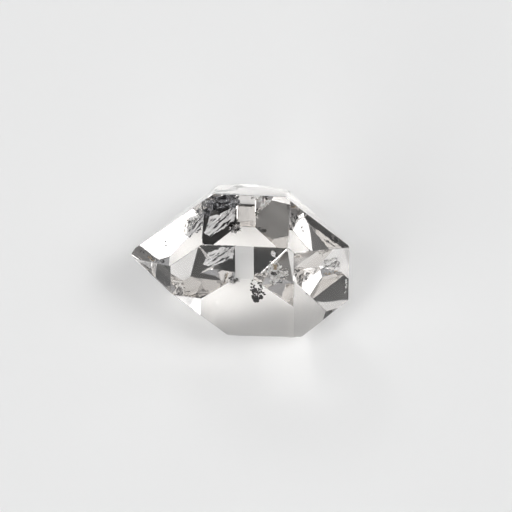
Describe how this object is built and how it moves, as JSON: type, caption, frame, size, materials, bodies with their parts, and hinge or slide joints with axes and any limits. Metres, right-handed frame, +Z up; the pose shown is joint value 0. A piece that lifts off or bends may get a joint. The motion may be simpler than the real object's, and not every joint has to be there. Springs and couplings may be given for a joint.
{
  "type": "herkimer diamond",
  "caption": "Clear doubly terminated quartz crystal with flat natural faces, black specks and healed fractures inside, lying on a prism face.",
  "frame": {"origin": "middle of the crystal's box on the surface that it rests on", "axes": "+X along the crystal's long axis towards the blunter end, +Y away from the side with the largest upper prism face, +Z up from the prism face that it rests on"},
  "size_m": [0.024, 0.0168, 0.0155],
  "materials": {
    "quartz": "gloss"
  },
  "bodies": {
    "root": {"crystal": "quartz"}
  },
  "joints": []
}
